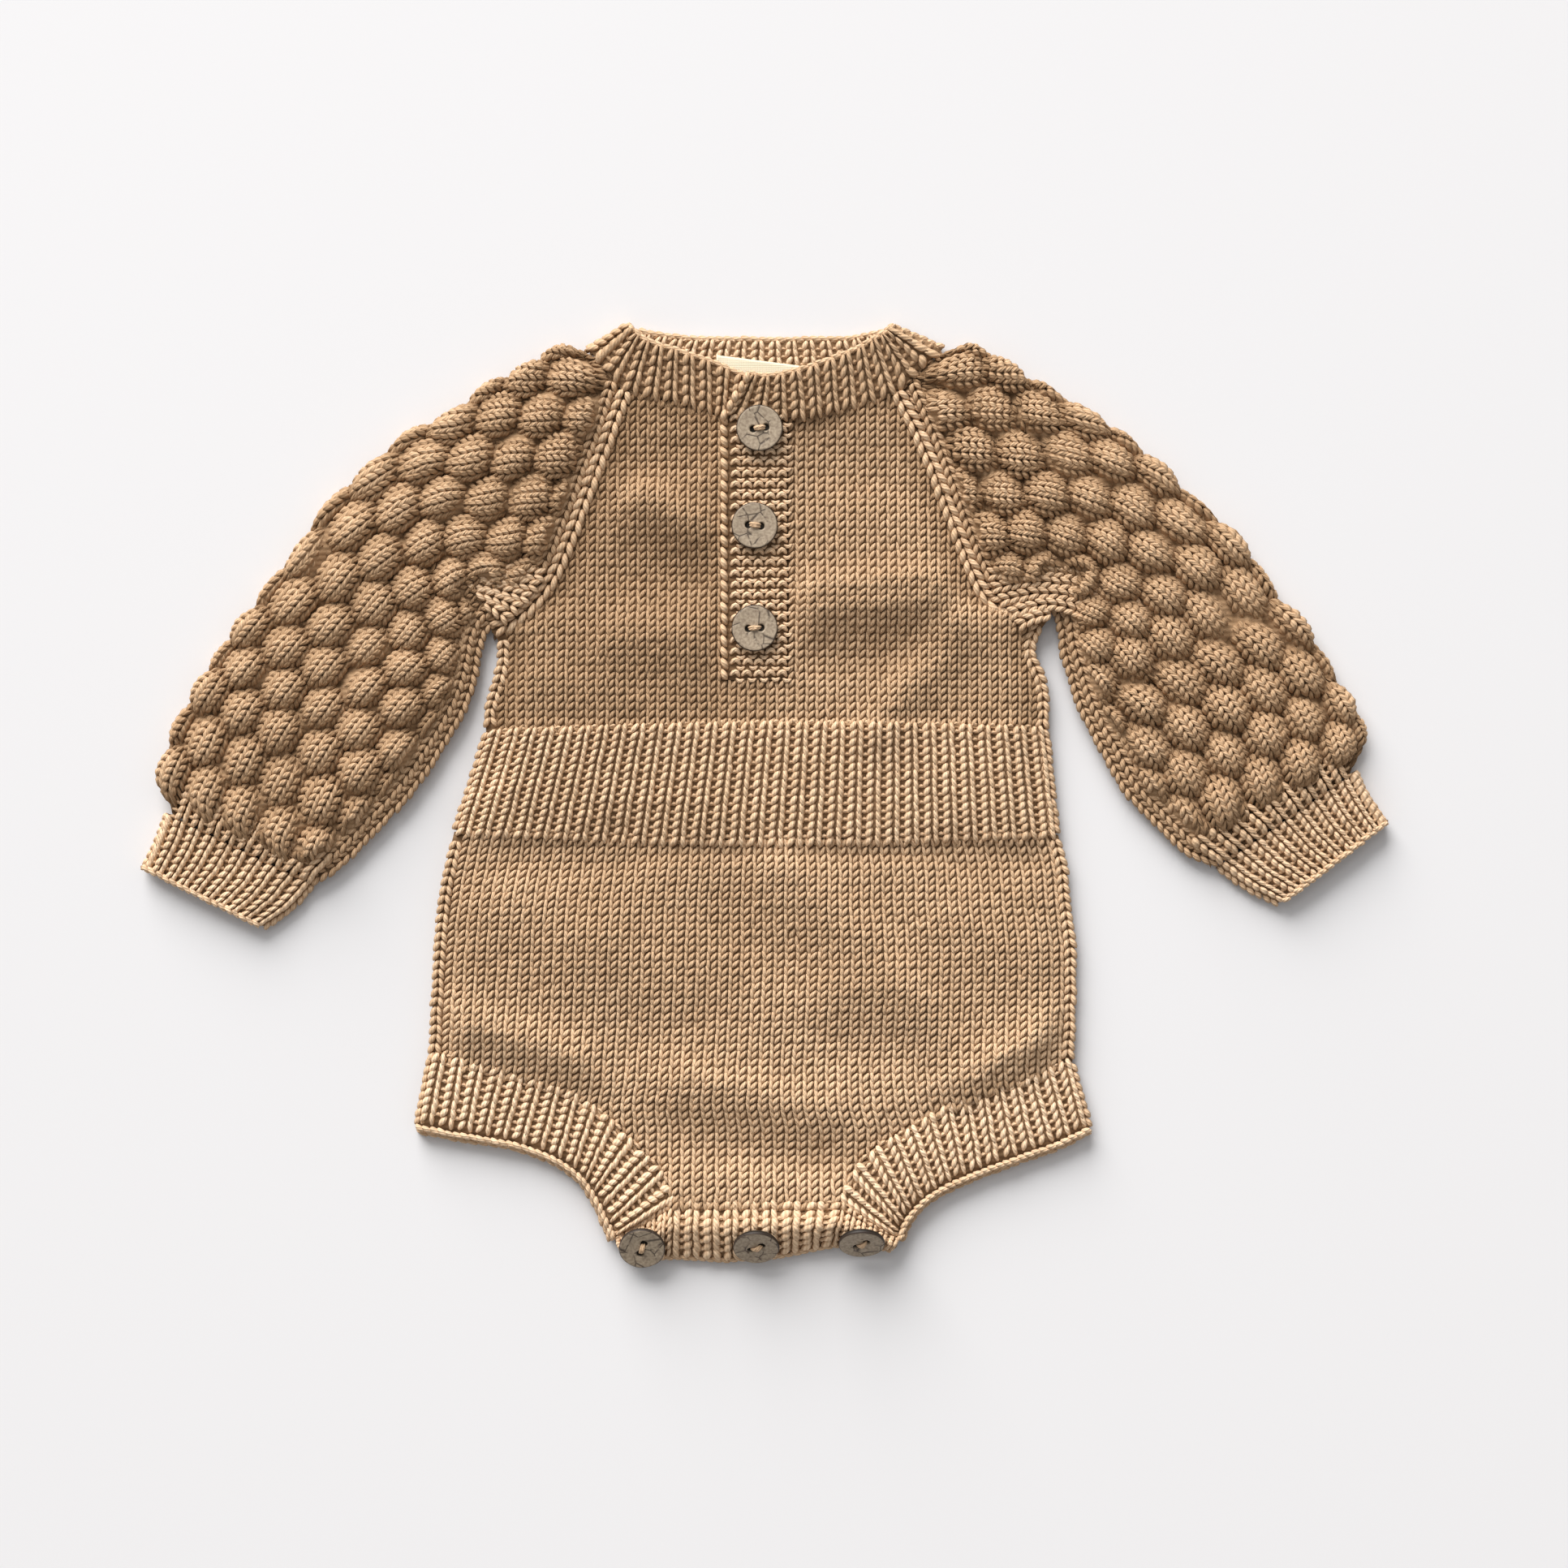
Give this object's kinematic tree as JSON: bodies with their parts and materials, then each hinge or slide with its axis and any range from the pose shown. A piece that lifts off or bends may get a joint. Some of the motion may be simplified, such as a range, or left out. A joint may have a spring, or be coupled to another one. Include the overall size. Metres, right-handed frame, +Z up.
{
  "type": "baby romper",
  "caption": "Hand-knitted long-sleeved baby romper laid flat, with bubble-stitch raglan sleeves, ribbed waist and bands, henley placket and crotch buttons.",
  "frame": {"origin": "middle of the bounding box on the surface that the romper lies on", "axes": "+X from the wearer's right sleeve to the left one as seen from the front, +Y from the crotch to the neck, +Z up out of the front"},
  "size_m": [0.4896, 0.3727, 0.0204],
  "materials": {
    "cotton_yarn": "matte",
    "coconut_shell": "satin",
    "label_tape": "matte"
  },
  "bodies": {
    "root": {"front_bodice": "cotton_yarn", "back_bodice": "cotton_yarn", "front_waist_rib": "cotton_yarn", "back_waist_rib": "cotton_yarn", "front_lower": "cotton_yarn", "back_lower": "cotton_yarn", "left_leg_band_front": "cotton_yarn", "left_leg_band_back": "cotton_yarn", "right_leg_band_front": "cotton_yarn", "right_leg_band_back": "cotton_yarn", "crotch_band_front": "cotton_yarn", "crotch_band_back": "cotton_yarn", "neckband": "cotton_yarn", "placket_buttonhole_band": "cotton_yarn", "placket_button_band": "cotton_yarn", "sleeve_left": "cotton_yarn", "sleeve_right": "cotton_yarn", "cuff_left": "cotton_yarn", "cuff_right": "cotton_yarn", "button_placket_top": "coconut_shell", "button_placket_middle": "coconut_shell", "button_placket_bottom": "coconut_shell", "button_crotch_left": "coconut_shell", "button_crotch_middle": "coconut_shell", "button_crotch_right": "coconut_shell", "label": "label_tape"}
  },
  "joints": []
}
